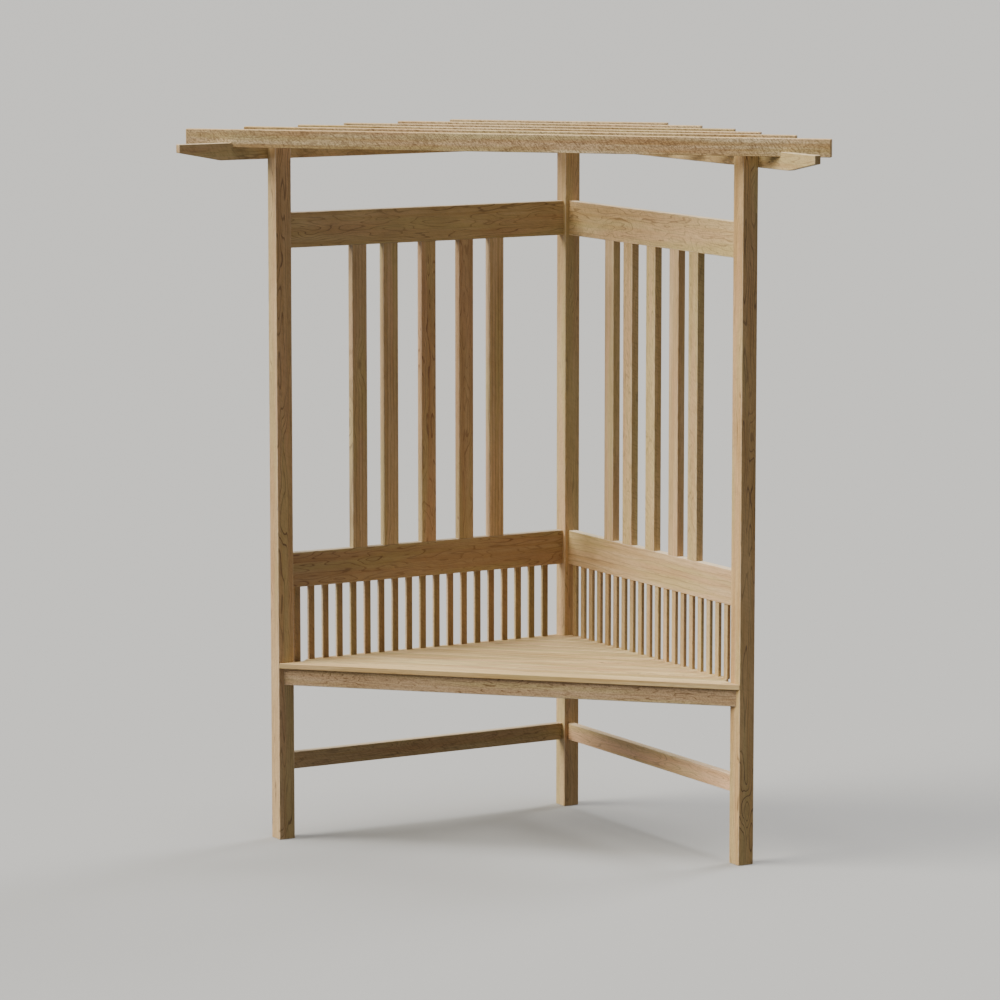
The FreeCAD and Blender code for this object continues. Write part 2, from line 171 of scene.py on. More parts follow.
def board_noises(tree, place, figure_scale):
    """The marks in the wood, each a noise that is drawn out along the grain. Figure and wobble are the
    slow and the quick bends of the rings, as tight as the board's look says."""
    rows = {"figure": (figure_scale, 1.0, 1.0), "wobble": (figure_scale, 1.5, WOBBLE_PACE)}
    rows.update({name: (per_metre, detail, 1.0) for name, (per_metre, detail) in MARKS.items()})
    noise = {}
    for name, (per_metre, detail, pace) in rows.items():
        stretched = add(tree, "ShaderNodeVectorMath", {0: place, 1: per_metre}, operation="MULTIPLY")
        noise[name] = add(tree, "ShaderNodeTexNoise", {"Vector": stretched, "Scale": pace, "Detail": detail})
    turned = add(tree, "ShaderNodeVectorRotate", {"Vector": place, "Axis": FLECK_AXIS, "Angle": FLECK_TURN},
                 rotation_type="AXIS_ANGLE")
    turned = add(tree, "ShaderNodeVectorMath", {0: turned, 1: FLECKS}, operation="MULTIPLY")
    noise["fleck"] = add(tree, "ShaderNodeTexNoise", {"Vector": turned, "Scale": 1.0, "Detail": 1.0})
    return noise


def way_through_ring(tree, inputs, noise, knot):
    """How far through its growth ring each place is, from 0 to 1. The rings lie round the pith, swing
    in and out along the board as cathedral figure, and bend round the knots."""
    flat = add(tree, "ShaderNodeVectorMath", {0: inputs["Place"], 1: inputs["Pith"]}, operation="SUBTRACT")
    flat = add(tree, "ShaderNodeVectorMath", {0: flat, 1: (0.0, 1.0, 1.0)}, operation="MULTIPLY")
    radius = add(tree, "ShaderNodeVectorMath", {0: flat}, operation="LENGTH").outputs["Value"]
    swing = add(tree, "ShaderNodeMath", {0: noise["figure"], 1: 0.5}, operation="SUBTRACT")
    radius = add(tree, "ShaderNodeMath", {0: swing, 1: inputs["Figure"], 2: radius}, operation="MULTIPLY_ADD")
    radius = add(tree, "ShaderNodeMath", {0: noise["wobble"], 1: WOBBLE, 2: radius}, operation="MULTIPLY_ADD")
    pull = add(tree, "ShaderNodeMapRange", {"Value": knot, "From Max": KNOT_REACH, "To Min": KNOT_PULL,
                                            "To Max": 0.0}, interpolation_type="SMOOTHSTEP")
    radius = add(tree, "ShaderNodeMath", {0: radius, 1: pull}, operation="ADD")
    rings = add(tree, "ShaderNodeMath", {0: radius, 1: inputs["Ring Spacing"]}, operation="DIVIDE")
    return add(tree, "ShaderNodeMath", {0: rings}, operation="FRACT")


def depth_at_arris(tree, inputs, nick):
    """The middle one of a place's depths below the board's faces, which is small only along an arris."""
    inside = add(tree, "ShaderNodeVectorMath", {0: inputs["Place"]}, operation="ABSOLUTE")
    inside = add(tree, "ShaderNodeVectorMath", {0: inputs["Half Size"], 1: inside}, operation="SUBTRACT")
    depth = add(tree, "ShaderNodeSeparateXYZ", {0: inside}).outputs
    least = add(tree, "ShaderNodeMath", {0: depth["Y"], 1: depth["Z"]}, operation="MINIMUM")
    most = add(tree, "ShaderNodeMath", {0: depth["Y"], 1: depth["Z"]}, operation="MAXIMUM")
    between = add(tree, "ShaderNodeMath", {0: least, 1: depth["X"]}, operation="MAXIMUM")
    between = add(tree, "ShaderNodeMath", {0: most, 1: between}, operation="MINIMUM")
    return add(tree, "ShaderNodeMath", {0: nick, 1: NICK_DEPTH, 2: between}, operation="MULTIPLY_ADD")


def timber_amounts(tree, inputs, mask):
    """How much of each mark shows. Late wood is strongest in the dark patches."""
    late = add(tree, "ShaderNodeMath", {0: mask["late"], 1: LATE_SHARE}, operation="MULTIPLY")
    late = add(tree, "ShaderNodeMath", {0: mask["line"], 1: LINE_SHARE, 2: late}, operation="MULTIPLY_ADD")
    late = add(tree, "ShaderNodeMath", {0: late, 1: mask["ring end"]}, operation="MULTIPLY")
    rings = add(tree, "ShaderNodeMath", {0: mask["patch"], 1: 1 - PALE_RINGS, 2: PALE_RINGS},
                operation="MULTIPLY_ADD")
    rings = add(tree, "ShaderNodeMath", {0: rings, 1: late}, operation="MULTIPLY")
    amount = {**mask, "late": late}
    for name, value, strength in (("ring", rings, inputs["Ring Strength"]),
                                  ("fleck", mask["fleck"], inputs["Fleck"]),
                                  ("mottle", mask["mottle"], inputs["Mottle"]),
                                  ("arris", mask["arris"], inputs["Arris"]),
                                  # painted top light: painted light and sheen on the faces that look up
                                  ("painted_top_light", mask["top"], inputs["Painted Top Light"]),
                                  ("pore", mask["pore"], mask["early"])):
        amount[name] = add(tree, "ShaderNodeMath", {0: value, 1: strength}, operation="MULTIPLY")
    return amount


def timber_group():
    """Solid wood in a board's own directions: X along the grain, Y across it, Z through the board."""
    tree = bpy.data.node_groups.new("planed_timber", "ShaderNodeTree")
    inputs = name_sockets(
        tree,
        (("Place", "Vector"), ("Half Size", "Vector"), ("Pith", "Vector"), ("Grain Axis", "Vector"),
         ("Seed", "Float"), ("Shade", "Float"), ("Ring Spacing", "Float"), ("Figure", "Float"),
         ("Figure Scale", "Vector"), ("Ring Strength", "Float"), ("Fleck", "Float"), ("Mottle", "Float"),
         ("Arris", "Float"), ("Painted Top Light", "Float"), ("Fresh", "Color"), ("Pale", "Color"), ("Tan", "Color"),
         ("Brown", "Color")),
        (("Color", "Color"), ("Roughness", "Float"), ("Height", "Float")))

    # Each board is cut from its own place in the tree
    in_tree = add(tree, "ShaderNodeVectorMath", {0: inputs["Seed"], 1: CUT_STEP, 2: inputs["Place"]},
                  operation="MULTIPLY_ADD")
    value = board_noises(tree, in_tree, inputs["Figure Scale"])
    spread = add(tree, "ShaderNodeVectorMath", {0: in_tree, 1: KNOTS}, operation="MULTIPLY")
    value["knot"] = add(tree, "ShaderNodeTexVoronoi", {"Vector": spread, "Scale": 1.0}).outputs["Distance"]
    value["ring"] = way_through_ring(tree, inputs, value, value["knot"])
    value["arris"] = depth_at_arris(tree, inputs, value["nick"])
    normal = add(tree, "ShaderNodeNewGeometry").outputs["Normal"]
    # Faces that look up get painted top light, as painted light and sheen from above
    value["upwards"] = add(tree, "ShaderNodeSeparateXYZ", {0: normal}).outputs["Z"]
    along = add(tree, "ShaderNodeVectorMath", {0: normal, 1: inputs["Grain Axis"]}, operation="DOT_PRODUCT")
    value["end on"] = add(tree, "ShaderNodeMath", {0: along.outputs["Value"]}, operation="ABSOLUTE")
    mask = {}
    for name, (source, start, end) in FADES.items():
        mask[name] = add(tree, "ShaderNodeMapRange",
                         {"Value": value[source], "From Min": start, "From Max": end},
                         interpolation_type="SMOOTHSTEP")
    amount = timber_amounts(tree, inputs, mask)

    tone = add(tree, "ShaderNodeMix", {"Factor": PATCH_SHARE, "A": mask["streak"], "B": mask["patch"]})
    wood = add(tree, "ShaderNodeMix", {"Factor": tone, "A": inputs["Pale"], "B": inputs["Tan"]},
               data_type="RGBA")
    for name, share, tint in COATS:
        cover = add(tree, "ShaderNodeMath", {0: amount[name], 1: share}, operation="MULTIPLY")
        tint = colour(tint) if tint.startswith("#") else inputs[tint]
        wood = add(tree, "ShaderNodeMix", {"Factor": cover, "A": wood.outputs["Result"], "B": tint},
                   data_type="RGBA")
    wood = add(tree, "ShaderNodeVectorMath", {0: wood.outputs["Result"], "Scale": inputs["Shade"]},
               operation="SCALE")
    rough = ROUGHNESS
    for name, share in ROUGHER:
        rough = add(tree, "ShaderNodeMath", {0: amount[name], 1: share, 2: rough}, operation="MULTIPLY_ADD")
    height = 0.0
    for name, share in HIGHER:
        height = add(tree, "ShaderNodeMath", {0: amount[name], 1: share, 2: height}, operation="MULTIPLY_ADD")
    add(tree, "NodeGroupOutput", {"Color": wood, "Roughness": rough, "Height": height})
    return tree


TIMBER = timber_group()

# Planed oak left bare: pale where it is fresh, with brown late wood in every ring, and hardly a shine.
# Each look says this of the boards that wear it:
# ring, how wide a growth ring is, drawn wider than most of real oak's, so that it shows;
# figure, how far the rings swing in and out, and fine, how many swings there are to a metre along,
# across and through the board; pith, which way the heart of the tree lies, below the board (flat sawn)
# or beside it (quarter sawn); strength, fleck, mottle and arris, how much shows of the rings, the
# slanted strokes, the mottle and the pale edge, which is partly a worn edge and partly a painted
# highlight; painted top light, how far faces that look up are painted paler, as painted light and sheen
# from above; shade, how light the board is, and vary, by how much of itself that differs from board to
# board; worn and lit, the pale colour of that edge and of the painted top light, and pale, tan and brown,
# its other colours. Spindles also have side, how many times lighter their sides are painted than their
# faces, below 1 where they are painted darker, which is painted light and shade for the key light that
# falls across the row; and painted side tint, the colour that those painted sides lean to.
FRAME = {"ring": 0.0045, "figure": 0.045, "fine": (5.5, 34.0, 34.0), "pith": "below", "strength": 0.5,
         "fleck": 0.3, "mottle": 0.0, "arris": 0.4, "painted_top_light": 0.3, "shade": 1.0, "vary": 0.045,
         "fresh": "#f5e6ca", "pale": "#d8be8d", "tan": "#c1a16c", "brown": "#694c2a"}
SHADED = {**FRAME, "strength": 0.7, "fleck": 0.1, "painted_top_light": 0.7, "shade": 0.86}
RED = {**SHADED, "shade": 0.68, "pale": "#d3b386", "tan": "#bf9768", "brown": "#6b4022"}
POST = {**FRAME, "fine": (4.0, 30.0, 30.0), "strength": 0.9, "fleck": 0.15}
QUARTER = {**FRAME, "ring": 0.009, "figure": 0.006, "pith": "beside", "strength": 0.7, "fleck": 0.1,
           "pale": "#d8bc92", "tan": "#c1a071"}
PALE_QUARTER = {**QUARTER, "strength": 0.45, "shade": 1.05}
# Spindles: their sides are painted a little darker than their faces (side 0.85), as painted shade
STICK = {**FRAME, "figure": 0.02, "strength": 0.3, "arris": 0.2, "painted_top_light": 0.0, "shade": 0.94,
         "side": 0.85, "painted side tint": "#cfb284", "fresh": "#e8d2a4"}
SEAT = {**FRAME, "ring": 0.009, "figure": 0.02, "pith": "beside", "strength": 1.0, "fleck": 0.0,
        "arris": 0.15, "painted_top_light": 0.0, "shade": 1.03, "vary": 0.075,
        "fresh": "#f0e2c6", "pale": "#efd59f", "tan": "#cba66a"}
ROOF = {**FRAME, "ring": 0.012, "figure": 0.03, "fine": (26.0, 60.0, 60.0), "fleck": 0.7, "mottle": 0.45,
        "painted_top_light": 0.4, "fresh": "#f0c98c", "pale": "#efd8ae", "tan": "#b08a4e"}
APRON = {**FRAME, "ring": 0.005, "figure": 0.03, "fine": (9.0, 64.0, 64.0), "strength": 0.85,
         "fleck": 0.15, "mottle": 0.3, "pale": "#d3b692", "tan": "#b5946c"}

# Boards that stand out from their neighbours
OWN_LOOK = {
    "left_post": {**POST, "pale": "#dab98b", "tan": "#c39e6b"},
    "right_post": {**POST, "pale": "#debb85", "tan": "#c89f65"},
    "back_post": {**POST, "strength": 0.5, "shade": 1.02, "pale": "#d9b988", "tan": "#c29f69"},
    "left_top_rail": SHADED,
    "left_mid_rail": RED,
    # Its top is painted paler, as painted light from behind
    "left_stretcher": {**FRAME, "painted_top_light": 0.6, "shade": 0.86},
    "left_slat_1": {**QUARTER, "shade": 0.94},
    "left_slat_2": {**QUARTER, "shade": 0.93},
    "left_slat_3": {**RED, "shade": 0.92},
    "left_slat_4": {**RED, "shade": 0.85},
    "left_slat_5": {**QUARTER, "shade": 0.97},
    # Painted light and shade: the left spindles' faces are darkened, and their sides painted 2.2 times
    # lighter in a cream tint, for the key light that falls on their sides
    "left_spindles": {**STICK, "shade": 0.48, "side": 2.2, "painted side tint": "#d9c3a0", "pale": "#dfb985",
                      "tan": "#cca26e"},
    # Painted light: the right top rail is made lighter, for the key light that the left wall keeps off it
    "right_top_rail": {**FRAME, "strength": 0.62, "painted_top_light": 0.6, "shade": 1.05},
    "right_mid_rail": {**PALE_QUARTER, "ring": 0.014, "figure": 0.02, "painted_top_light": 0.6},
    # Painted light: the right stretcher is made much lighter, to stand in for light where the seat shades it
    "right_stretcher": {**FRAME, "fleck": 0.15, "shade": 1.24, "pale": "#dcb892", "tan": "#c59d72"},
    "right_slat_1": PALE_QUARTER,
    # Painted light: the second and third right slats are made lighter, for the key light the left wall keeps
    # off
    "right_slat_2": {**FRAME, "shade": 1.1},
    "right_slat_3": {**FRAME, "shade": 1.14},
    "right_slat_4": PALE_QUARTER,
    # Painted shade and light: the front board is darkened and its top painted paler again, so that its front
    # face shows darker than its top
    "seat_board_01": {**SEAT, "strength": 0.25, "painted_top_light": 0.3, "shade": 0.88, "fresh": "#ffdfa6"}}

CUTS = 40.0                     # the boards' places are spread over this many steps, and a row's spindles too
PITH_BELOW = (0.035, 0.08)      # how deep below the middle of a flat sawn board the heart lies
PITH_BESIDE = (0.12, 0.2)       # how far beside the middle of a quarter sawn board it lies
STRAY_BELOW = 0.03              # how far it strays the other way in each
STRAY_BESIDE = 0.02
SPINDLE_VARY = 0.1              # how far the spindles' shades differ in one row
SPINDLE_GAP = 0.02              # less than the space between two spindles, more than one's face


def pith_place(chance, way):
    """Where the heart of the tree lies from the middle of the board, below it or beside it."""
    place = Vector((0.0, chance.uniform(-STRAY_BELOW, STRAY_BELOW), -chance.uniform(*PITH_BELOW)))
    if way == "beside":
        place = Vector((0.0, -chance.uniform(*PITH_BESIDE), chance.uniform(-STRAY_BESIDE, STRAY_BESIDE)))
    return place


def runs(values, gap):
    """Parts coordinates wherever they are this far apart, and returns the ends of each run."""
    values = np.sort(values)
    cuts = np.flatnonzero(np.diff(values) > gap) + 1
    return [(run[0], run[-1]) for run in np.split(values, cuts)]


def part_spindles(tree, cut, across, bars, look):
    """Makes each spindle of a row its own stick, in its own shade, with painted light and shade on its sides:
    they are painted lighter or darker than its faces, and tinted, for the key light that falls across the
    row.
    """
    width = bars[0][1] - bars[0][0]
    pitch = (bars[-1][0] - bars[0][0]) / (len(bars) - 1)
    parts = add(tree, "ShaderNodeSeparateXYZ", {0: cut["Place"]}).outputs
    number = add(tree, "ShaderNodeMath", {0: parts["Y"], 1: pitch}, operation="DIVIDE")
    number = add(tree, "ShaderNodeMath", {0: number}, operation="ROUND")
    beside = add(tree, "ShaderNodeMath", {0: number, 1: -pitch, 2: parts["Y"]}, operation="MULTIPLY_ADD")
    place = add(tree, "ShaderNodeCombineXYZ", {"X": parts["X"], "Y": beside, "Z": parts["Z"]})
    own = add(tree, "ShaderNodeTexWhiteNoise", {"W": number}, noise_dimensions="1D").outputs["Value"]
    seed = add(tree, "ShaderNodeMath", {0: own, 1: CUTS, 2: cut["Seed"]}, operation="MULTIPLY_ADD")
    # The sides, which face along the row, get painted light and shade: a painted tint, and a shade scaled by
    # side
    side = add(tree, "ShaderNodeNewGeometry").outputs["Normal"]
    side = add(tree, "ShaderNodeVectorMath", {0: side, 1: across}, operation="DOT_PRODUCT").outputs["Value"]
    side = add(tree, "ShaderNodeMath", {0: side}, operation="ABSOLUTE")
    tints = {}
    for name in ("Pale", "Tan"):
        tints[name] = add(tree, "ShaderNodeMix",
                          {"Factor": side, "A": cut[name], "B": colour(look["painted side tint"])},
                          data_type="RGBA").outputs["Result"]
    shade = add(tree, "ShaderNodeMapRange", {"Value": own, "To Min": cut["Shade"] * (1 - SPINDLE_VARY),
                                             "To Max": cut["Shade"] * (1 + SPINDLE_VARY)})
    # Painted light and shade on the sides, as the look's side says
    side = add(tree, "ShaderNodeMapRange", {"Value": side, "To Min": 1.0, "To Max": look["side"]})
    shade = add(tree, "ShaderNodeMath", {0: shade, 1: side}, operation="MULTIPLY")
    half = Vector((cut["Half Size"].x, width / 2, cut["Half Size"].z))
    return {**cut, **tints, "Place": place, "Half Size": half, "Seed": seed, "Shade": shade}


def wear_timber(node, grain, across, look):
    """Gives a CAD node the timber, cut to the node's own size and directions."""
    look = OWN_LOOK.get(node, look)
    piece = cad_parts[node]
    axes = Matrix((grain, across, grain.cross(across))).transposed()
    corners = np.array([vertex.co for vertex in piece.data.vertices]) @ np.array(axes)
    low, high = corners.min(axis=0), corners.max(axis=0)
    chance = random.Random(node)
    material, tree = empty_material("planed_oak_" + node)
    place = add(tree, "ShaderNodeMapping",
                {"Vector": add(tree, "ShaderNodeTexCoord").outputs["Object"],
                 "Location": axes @ Vector((low + high) / 2), "Rotation": axes.to_euler()},
                vector_type="TEXTURE")
    cut = {"Place": place, "Half Size": Vector((high - low) / 2), "Grain Axis": grain,
           "Seed": chance.uniform(0.0, CUTS),
           "Shade": look["shade"] * (1 + look["vary"] * chance.uniform(-1.0, 1.0)),
           "Pith": pith_place(chance, look["pith"]),
           "Ring Spacing": look["ring"], "Figure": look["figure"], "Figure Scale": look["fine"],
           "Ring Strength": look["strength"], "Fleck": look["fleck"], "Mottle": look["mottle"],
           "Arris": look["arris"], "Painted Top Light": look["painted_top_light"], "Fresh": colour(look["fresh"]),
           "Pale": colour(look["pale"]), "Tan": colour(look["tan"]), "Brown": colour(look["brown"])}
    if node.endswith("spindles"):
        cut = part_spindles(tree, cut, across, runs(corners[:, 1], SPINDLE_GAP), look)
    wood = add(tree, "ShaderNodeGroup", cut, node_tree=TIMBER)
    bump = add(tree, "ShaderNodeBump", {"Height": wood.outputs["Height"], "Strength": 0.5,
                                        "Distance": GRAIN_DEPTH})
    shader = add(tree, "ShaderNodeBsdfPrincipled",
                 {"Base Color": wood.outputs["Color"], "Roughness": wood.outputs["Roughness"],
                  "Normal": bump, "IOR": 1.5})
    add(tree, "ShaderNodeOutputMaterial", {"Surface": shader})
    piece.data.materials.clear()
    piece.data.materials.append(material)


def dress_frame():
    for corner in ("left", "back", "right"):
        wear_timber(f"{corner}_post", UP, ALONG_WALL["left"], POST)
    for side, along in ALONG_WALL.items():
        for member in ("top_rail", "mid_rail", "stretcher", "seat_bearer", "beam"):
            wear_timber(f"{side}_{member}", along, UP, FRAME)
        for slat in (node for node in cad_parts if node.startswith(f"{side}_slat_")):
            wear_timber(slat, UP, along, FRAME)
        wear_timber(f"{side}_spindles", UP, along, STICK)


def dress_seat_and_roof():
    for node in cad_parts:
        if node.startswith("seat_board"):
            wear_timber(node, ACROSS, INWARDS, SEAT)
        elif node.startswith("rafter_") and node != "rafter_screws":
            wear_timber(node, ACROSS, UP, ROOF)
    wear_timber("apron", ACROSS, UP, APRON)
    wear_timber("middle_bearer", INWARDS, UP, FRAME)


dress_frame()
dress_seat_and_roof()


# Screws. Each one's place, direction and length are read from its solid, and it is then made in full.

BLOTCHES = 450.0        # to a metre, so each blotch of the plating is about 2 mm wide
BLOTCH_DEPTH = 0.0001


def plated_steel():
    """Zinc-plated steel: a soft cool shine, a little blotched by the plating bath."""
    material, tree = empty_material("zinc_plated_steel")
    place = add(tree, "ShaderNodeTexCoord").outputs["Object"]
    blotch = add(tree, "ShaderNodeTexNoise", {"Vector": place, "Scale": BLOTCHES, "Detail": 3.0})
    tint = add(tree, "ShaderNodeMix", {"Factor": blotch, "A": colour("#a9adb0"), "B": colour("#cfd0cc")},
               data_type="RGBA")
    rough = add(tree, "ShaderNodeMapRange", {"Value": blotch, "To Min": 0.26, "To Max": 0.46})
    bump = add(tree, "ShaderNodeBump", {"Height": blotch, "Strength": 0.3, "Distance": BLOTCH_DEPTH})
    shader = add(tree, "ShaderNodeBsdfPrincipled", {"Base Color": tint.outputs["Result"], "Roughness": rough,
                                                    "Normal": bump, "Metallic": 1.0})
    add(tree, "ShaderNodeOutputMaterial", {"Surface": shader})
    return material


STEEL = plated_steel()
SCREW_SIZES = (("Head Width", "Float"), ("Head Height", "Float"), ("Shank Width", "Float"),
               ("Length", "Float"), ("Thread Pitch", "Float"), ("Seed", "Int"))
COACH_SIZES = {"Washer Width": 0.016, "Washer Height": 0.0016, "Chamfer": 0.0005, "Head Width": 0.013,
               "Head Height": 0.0053, "Shank Width": 0.008, "Thread Pitch": 0.0035, "Seed": 5}
WOOD_SIZES = {"Recess Share": 0.5, "Recess Depth": 0.0016, "Head Width": 0.009, "Head Height": 0.0025,
              "Shank Width": 0.0045, "Thread Pitch": 0.0025, "Seed": 5}
FULL_TURN = 2 * math.pi
HALF_TOOTH = 0.5            # of the pitch, from the thread's crest to its root
THREAD_DEPTH = 0.3          # of the shank's radius
SHANK_SIDES = 10
SHANK_STEPS = 44            # rows of faces along the shank
POINT_LENGTH = 0.007
POINT_WIDTH = 0.1           # of the shank's width, at the very tip
HEAD_SIDES = 6
HEAD_CROWN = 0.84           # how wide a head's top face is inside its chamfer
WASHER_SIDES = 32
WASHER_CROWN = 0.95
COUNTERSINK_SIDES = 24
LOBES = 6
LOBE_SWING = 0.14           # how far the lobes swing in and out, of the recess's radius


def threaded_shank(tree, sizes):
    """From half way down the head to the point, with a thread that climbs round it."""
    radius = add(tree, "ShaderNodeMath", {0: sizes["Shank Width"], 1: 0.5}, operation="MULTIPLY")
    inset = add(tree, "ShaderNodeMath", {0: sizes["Head Height"], 1: 0.5}, operation="MULTIPLY")
    length = add(tree, "ShaderNodeMath", {0: sizes["Length"], 1: inset}, operation="SUBTRACT")
    drop = add(tree, "ShaderNodeMath", {0: length, 1: -0.5}, operation="MULTIPLY")
    drop = add(tree, "ShaderNodeMath", {0: drop, 1: inset}, operation="SUBTRACT")
    drop = add(tree, "ShaderNodeCombineXYZ", {"Z": drop})
    shank = add(tree, "GeometryNodeMeshCylinder",
                {"Vertices": SHANK_SIDES, "Side Segments": SHANK_STEPS, "Fill Segments": 1,
                 "Radius": radius, "Depth": length})
    shank = add(tree, "GeometryNodeTransform", {"Geometry": shank, "Translation": drop})
    place = add(tree, "GeometryNodeInputPosition")
    parts = add(tree, "ShaderNodeSeparateXYZ", {0: place}).outputs
    angle = add(tree, "ShaderNodeMath", {0: parts["Y"], 1: parts["X"]}, operation="ARCTAN2")
    angle = add(tree, "ShaderNodeMath", {0: angle, 1: FULL_TURN}, operation="DIVIDE")
    turn = add(tree, "ShaderNodeMath", {0: parts["Z"], 1: sizes["Thread Pitch"]}, operation="DIVIDE")
    turn = add(tree, "ShaderNodeMath", {0: turn, 1: angle}, operation="ADD")
    tooth = add(tree, "ShaderNodeMath", {0: turn, 1: HALF_TOOTH}, operation="PINGPONG")
    girth = add(tree, "ShaderNodeMath", {0: tooth, 1: -THREAD_DEPTH / HALF_TOOTH, 2: 1.0},
                operation="MULTIPLY_ADD")
    from_tip = add(tree, "ShaderNodeMath", {0: parts["Z"], 1: sizes["Length"]}, operation="ADD")
    taper = add(tree, "ShaderNodeMapRange", {"Value": from_tip, "From Max": POINT_LENGTH,
                                             "To Min": POINT_WIDTH, "To Max": 1.0})
    girth = add(tree, "ShaderNodeMath", {0: girth, 1: taper}, operation="MULTIPLY")
    girth = add(tree, "ShaderNodeCombineXYZ", {"X": girth, "Y": girth, "Z": 1.0})
    moved = add(tree, "ShaderNodeVectorMath", {0: place, 1: girth}, operation="MULTIPLY")
    return add(tree, "GeometryNodeSetPosition", {"Geometry": shank, "Position": moved})


def set_on_places(tree, inputs, solids):
    """Sets one screw on each place, turned along its direction and spun by chance, and ends the tree."""
    screw = add(tree, "GeometryNodeJoinGeometry", {"Geometry": solids})
    outwards = add(tree, "GeometryNodeInputNamedAttribute", {"Name": "outwards"}, data_type="FLOAT_VECTOR")
    spin = add(tree, "FunctionNodeRandomValue", {"Min": 0.0, "Max": FULL_TURN, "Seed": inputs["Seed"]},
               data_type="FLOAT").outputs["Value"]
    spin = add(tree, "ShaderNodeCombineXYZ", {"Z": spin})
    spin = add(tree, "FunctionNodeEulerToRotation", {0: spin})
    turned = add(tree, "FunctionNodeAlignRotationToVector", {"Rotation": spin, "Vector": outwards}, axis="Z")
    screws = add(tree, "GeometryNodeInstanceOnPoints",
                 {"Points": inputs["Places"], "Instance": screw, "Rotation": turned})
    screws = add(tree, "GeometryNodeRealizeInstances", {"Geometry": screws})
    screws = add(tree, "GeometryNodeSetMaterial", {"Geometry": screws, "Material": STEEL})
    add(tree, "NodeGroupOutput", {"Geometry": screws})
    return tree


def coach_screw():
    """A hexagon head with a chamfered crown, on a washer. The head's top is at Z = 0."""
    tree = bpy.data.node_groups.new("coach_screw", "GeometryNodeTree")
    inputs = name_sockets(tree, (("Places", "Geometry"), ("Washer Width", "Float"),
                                 ("Washer Height", "Float"), ("Chamfer", "Float"), *SCREW_SIZES),
                          (("Geometry", "Geometry"),))
    solids = [threaded_shank(tree, inputs)]
    # Corner radius is half the width across flats, over the cosine of 30 degrees
    head_radius = add(tree, "ShaderNodeMath", {0: inputs["Head Width"], 1: math.sqrt(3)}, operation="DIVIDE")
    washer_radius = add(tree, "ShaderNodeMath", {0: inputs["Washer Width"], 1: 0.5}, operation="MULTIPLY")
    washer_drop = add(tree, "ShaderNodeMath", {0: inputs["Head Height"], 1: -1.0}, operation="MULTIPLY")
    for sides, radius, height, top, crown in (
            (HEAD_SIDES, head_radius, inputs["Head Height"], 0.0, HEAD_CROWN),
            (WASHER_SIDES, washer_radius, inputs["Washer Height"], washer_drop, WASHER_CROWN)):
        body = add(tree, "ShaderNodeMath", {0: height, 1: inputs["Chamfer"]}, operation="SUBTRACT")
        drop = add(tree, "ShaderNodeMath", {0: body, 1: -0.5, 2: top}, operation="MULTIPLY_ADD")
        drop = add(tree, "ShaderNodeMath", {0: drop, 1: inputs["Chamfer"]}, operation="SUBTRACT")
        drop = add(tree, "ShaderNodeCombineXYZ", {"Z": drop})
        disc = add(tree, "GeometryNodeMeshCylinder", {"Vertices": sides, "Side Segments": 1,
                                                      "Fill Segments": 1, "Radius": radius, "Depth": body})
        raised = add(tree, "GeometryNodeExtrudeMesh",
                     {"Mesh": disc, "Selection": disc.outputs["Top"], "Offset Scale": inputs["Chamfer"]})
        narrowed = add(tree, "GeometryNodeScaleElements",
                       {"Geometry": raised, "Selection": raised.outputs["Top"], "Scale": crown})
        solids.append(add(tree, "GeometryNodeTransform", {"Geometry": narrowed, "Translation": drop}))
    return set_on_places(tree, inputs, solids)


